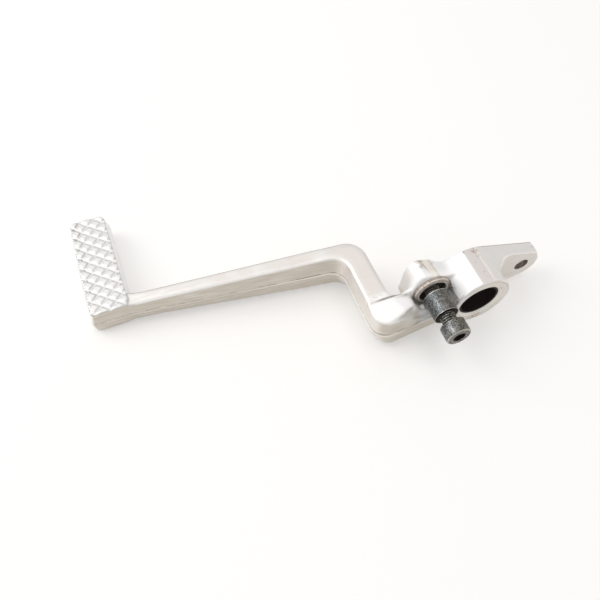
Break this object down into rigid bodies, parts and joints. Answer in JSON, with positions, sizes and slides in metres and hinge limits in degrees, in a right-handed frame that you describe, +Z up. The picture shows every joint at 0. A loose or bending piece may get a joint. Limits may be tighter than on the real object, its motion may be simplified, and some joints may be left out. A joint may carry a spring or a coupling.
{
  "type": "rear brake pedal",
  "caption": "Forged aluminium rear brake pedal for a motorcycle, with a cross-cut tread, a stepped arm, a lined pivot boss, a pull-rod ear and a roller on a cap screw.",
  "frame": {"origin": "middle of the pivot bore", "axes": "+X from the tread towards the pull-rod ear, +Y along the pivot axis, +Z up and square to the forging's parting plane"},
  "size_m": [0.235, 0.1397, 0.0373],
  "materials": {
    "forged_aluminium": "fine matt, as forged and blasted",
    "bush_lining": "dark dry-bearing lining",
    "nut_steel": "worn, brownish",
    "roller_steel": "dark, worn and speckled",
    "screw_steel": "dark, worn and speckled"
  },
  "bodies": {
    "pedal": {"pedal_lever": "forged_aluminium", "pivot_bush": "bush_lining", "lock_nut": "nut_steel", "cap_screw": "screw_steel"},
    "roller": {"roller": "roller_steel"}
  },
  "joints": [
    {"name": "roller_spin", "type": "hinge", "parent": "pedal", "child": "roller", "pos_m": [-0.0234, -0.00995, 0.008], "axis": [0, 1, 0], "continuous": true}
  ]
}
